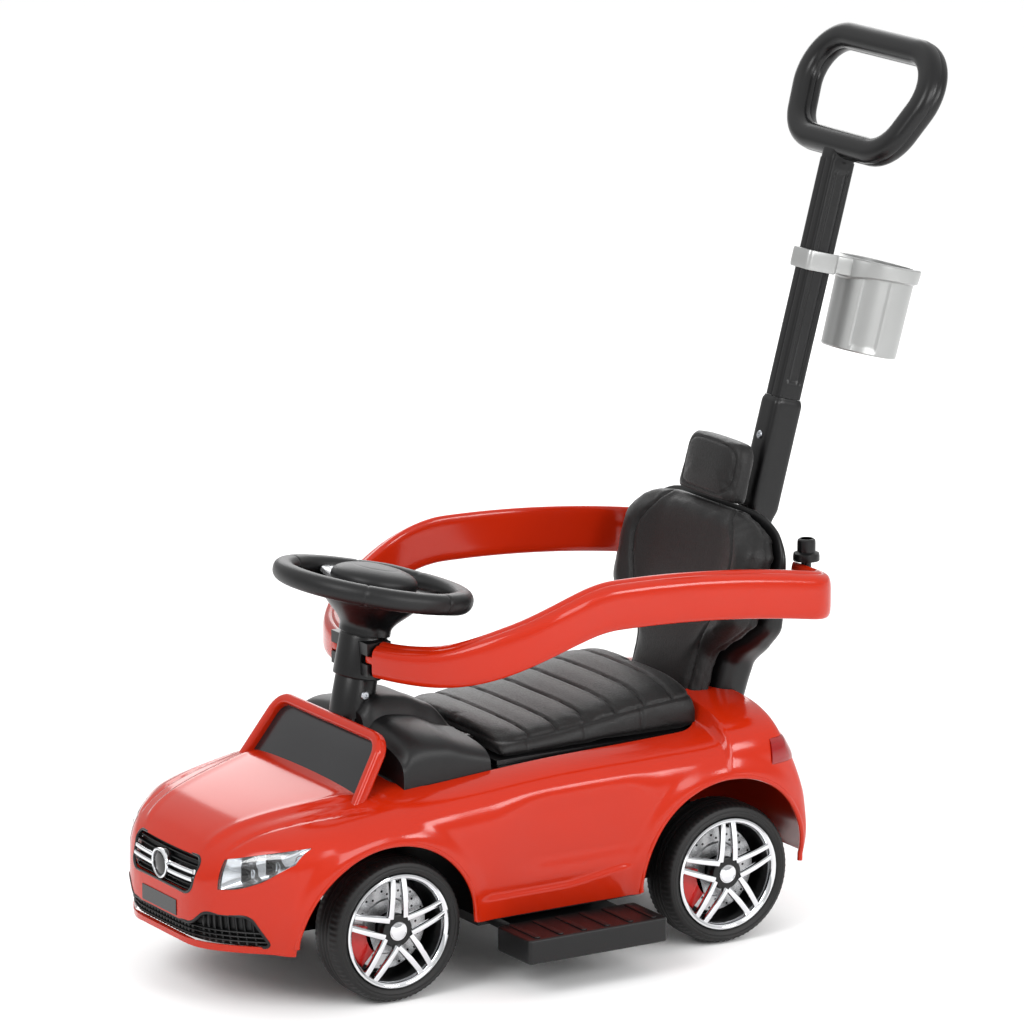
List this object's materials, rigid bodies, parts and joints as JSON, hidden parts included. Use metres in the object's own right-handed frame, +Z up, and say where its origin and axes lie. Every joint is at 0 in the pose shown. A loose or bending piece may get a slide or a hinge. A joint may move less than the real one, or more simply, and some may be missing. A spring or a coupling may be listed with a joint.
{
  "type": "push car",
  "caption": "Child's push car with a steering wheel linked to its front wheels, swinging guard rails, lifting seat over a tub, sliding foot steps and a push handle with a cup holder.",
  "frame": {"origin": "on the ground, on the plane of symmetry, halfway along the whole length", "axes": "+Z up, the car faces -Y, its left side is +X"},
  "size_m": [0.41, 0.8556, 0.8494],
  "materials": {
    "red_shell": "gloss moulded red",
    "dark_panel": "gloss dark grey",
    "black_plastic": "fine-grained matte black",
    "silver_plastic": "satin silver paint",
    "chrome_trim": "plated plastic",
    "clear_lens": "clear polycarbonate",
    "red_lens": "deep red translucent plastic",
    "steel": "bright zinc plated",
    "tyre_black": "hard moulded tyre, satin",
    "seat_leather": "soft black leather-look cover",
    "caliper_insert": "silver disc with red caliper",
    "cup_grey": "pearl grey"
  },
  "bodies": {
    "car": {"body_shell": "red_shell", "windscreen_panel": "dark_panel", "upper_grille": "black_plastic", "lower_grille": "black_plastic", "plate_blank": "black_plastic", "floor_pan": "black_plastic", "front_beam": "black_plastic", "storage_tub": "black_plastic", "console": "black_plastic", "column_tube": "black_plastic", "rail_collar": "black_plastic", "rail_pins": "black_plastic", "backrest_shell": "black_plastic", "pole_socket": "black_plastic", "handle_front_shell": "black_plastic", "handle_back_shell": "black_plastic", "grille_bars": "chrome_trim", "headlight_reflectors": "chrome_trim", "headlight_lenses": "clear_lens", "tail_lights": "red_lens", "rear_axle": "steel", "seat_hinge_pin": "steel", "lock_screw": "steel", "backrest_pad": "seat_leather", "headrest": "seat_leather", "cup_holder": "cup_grey"},
    "steering": {"steering_rim": "black_plastic", "steering_spokes": "silver_plastic", "hub_bowl": "black_plastic", "steering_shaft": "steel"},
    "horn_pad": {"horn_pad": "black_plastic"},
    "music_button_left": {"music_button_left": "black_plastic"},
    "knuckle_left": {"knuckle_left": "black_plastic"},
    "foot_step_left": {"foot_step_left": "black_plastic"},
    "rail_left": {"rail_left_outer": "red_shell", "rail_left_inner": "red_shell"},
    "music_button_right": {"music_button_right": "black_plastic"},
    "knuckle_right": {"knuckle_right": "black_plastic"},
    "foot_step_right": {"foot_step_right": "black_plastic"},
    "rail_right": {"rail_right_outer": "red_shell", "rail_right_inner": "red_shell"},
    "tie_rod": {"tie_rod": "black_plastic"},
    "seat_lid": {"seat_board": "black_plastic", "seat_cushion": "seat_leather"},
    "wheel_front_left": {"tyre_front_left": "tyre_black", "wheel_dish_front_left": "tyre_black", "wheel_star_front_left": "chrome_trim", "brake_insert_front_left": "caliper_insert"},
    "wheel_front_right": {"tyre_front_right": "tyre_black", "wheel_dish_front_right": "tyre_black", "wheel_star_front_right": "chrome_trim", "brake_insert_front_right": "caliper_insert"},
    "wheel_rear_left": {"tyre_rear_left": "tyre_black", "wheel_dish_rear_left": "tyre_black", "wheel_star_rear_left": "chrome_trim", "brake_insert_rear_left": "caliper_insert"},
    "wheel_rear_right": {"tyre_rear_right": "tyre_black", "wheel_dish_rear_right": "tyre_black", "wheel_star_rear_right": "chrome_trim", "brake_insert_rear_right": "caliper_insert"}
  },
  "joints": [
    {"name": "steering_turn", "type": "hinge", "parent": "car", "child": "steering", "pos_m": [0, -0.192, 0.368], "axis": [0, 0.2079, 0.9781], "range_deg": [-15, 15]},
    {"name": "horn_press", "type": "slide", "parent": "steering", "child": "horn_pad", "axis": [0, -0.2079, -0.9781], "range_m": [0, 0.002], "stiffness_N_per_m": 600},
    {"name": "music_left_press", "type": "slide", "parent": "steering", "child": "music_button_left", "axis": [0, -0.2079, -0.9781], "range_m": [0, 0.002], "stiffness_N_per_m": 300},
    {"name": "knuckle_left_turn", "type": "hinge", "parent": "car", "child": "knuckle_left", "pos_m": [0.088, -0.25, 0.09], "axis": [0, 0, 1], "range_deg": [-15, 15]},
    {"name": "music_right_press", "type": "slide", "parent": "steering", "child": "music_button_right", "axis": [0, -0.2079, -0.9781], "range_m": [0, 0.002], "stiffness_N_per_m": 300},
    {"name": "knuckle_right_turn", "type": "hinge", "parent": "car", "child": "knuckle_right", "pos_m": [-0.088, -0.25, 0.09], "axis": [0, 0, 1], "range_deg": [-15, 15]},
    {"name": "tie_rod_slide", "type": "slide", "parent": "car", "child": "tie_rod", "axis": [1, 0, 0], "range_m": [-0.0065, 0.0065]},
    {"name": "wheel_front_left_spin", "type": "hinge", "parent": "knuckle_left", "child": "wheel_front_left", "pos_m": [0.1235, -0.25, 0.07], "axis": [1, 0, 0], "continuous": true},
    {"name": "wheel_rear_left_spin", "type": "hinge", "parent": "car", "child": "wheel_rear_left", "pos_m": [0.1235, 0.12, 0.07], "axis": [1, 0, 0], "continuous": true},
    {"name": "rail_left_swing", "type": "hinge", "parent": "car", "child": "rail_left", "pos_m": [0.116, 0.226, 0.34], "axis": [0, 0, 1], "range_deg": [0, 65]},
    {"name": "foot_step_left_slide", "type": "slide", "parent": "car", "child": "foot_step_left", "axis": [-1, 0, 0], "range_m": [0, 0.05]},
    {"name": "wheel_front_right_spin", "type": "hinge", "parent": "knuckle_right", "child": "wheel_front_right", "pos_m": [-0.1235, -0.25, 0.07], "axis": [1, 0, 0], "continuous": true},
    {"name": "wheel_rear_right_spin", "type": "hinge", "parent": "car", "child": "wheel_rear_right", "pos_m": [-0.1235, 0.12, 0.07], "axis": [1, 0, 0], "continuous": true},
    {"name": "rail_right_swing", "type": "hinge", "parent": "car", "child": "rail_right", "pos_m": [-0.116, 0.226, 0.34], "axis": [0, 0, -1], "range_deg": [0, 65]},
    {"name": "foot_step_right_slide", "type": "slide", "parent": "car", "child": "foot_step_right", "axis": [1, 0, 0], "range_m": [0, 0.05]},
    {"name": "seat_lift", "type": "hinge", "parent": "car", "child": "seat_lid", "pos_m": [0, -0.1225, 0.219], "axis": [1, 0, 0], "range_deg": [0, 45]}
  ],
  "couplings": [
    {"joint": "knuckle_left_turn", "follows": "steering_turn", "ratio": 1},
    {"joint": "knuckle_right_turn", "follows": "steering_turn", "ratio": 1},
    {"joint": "tie_rod_slide", "follows": "steering_turn", "m_per_rad": 0.0247}
  ]
}
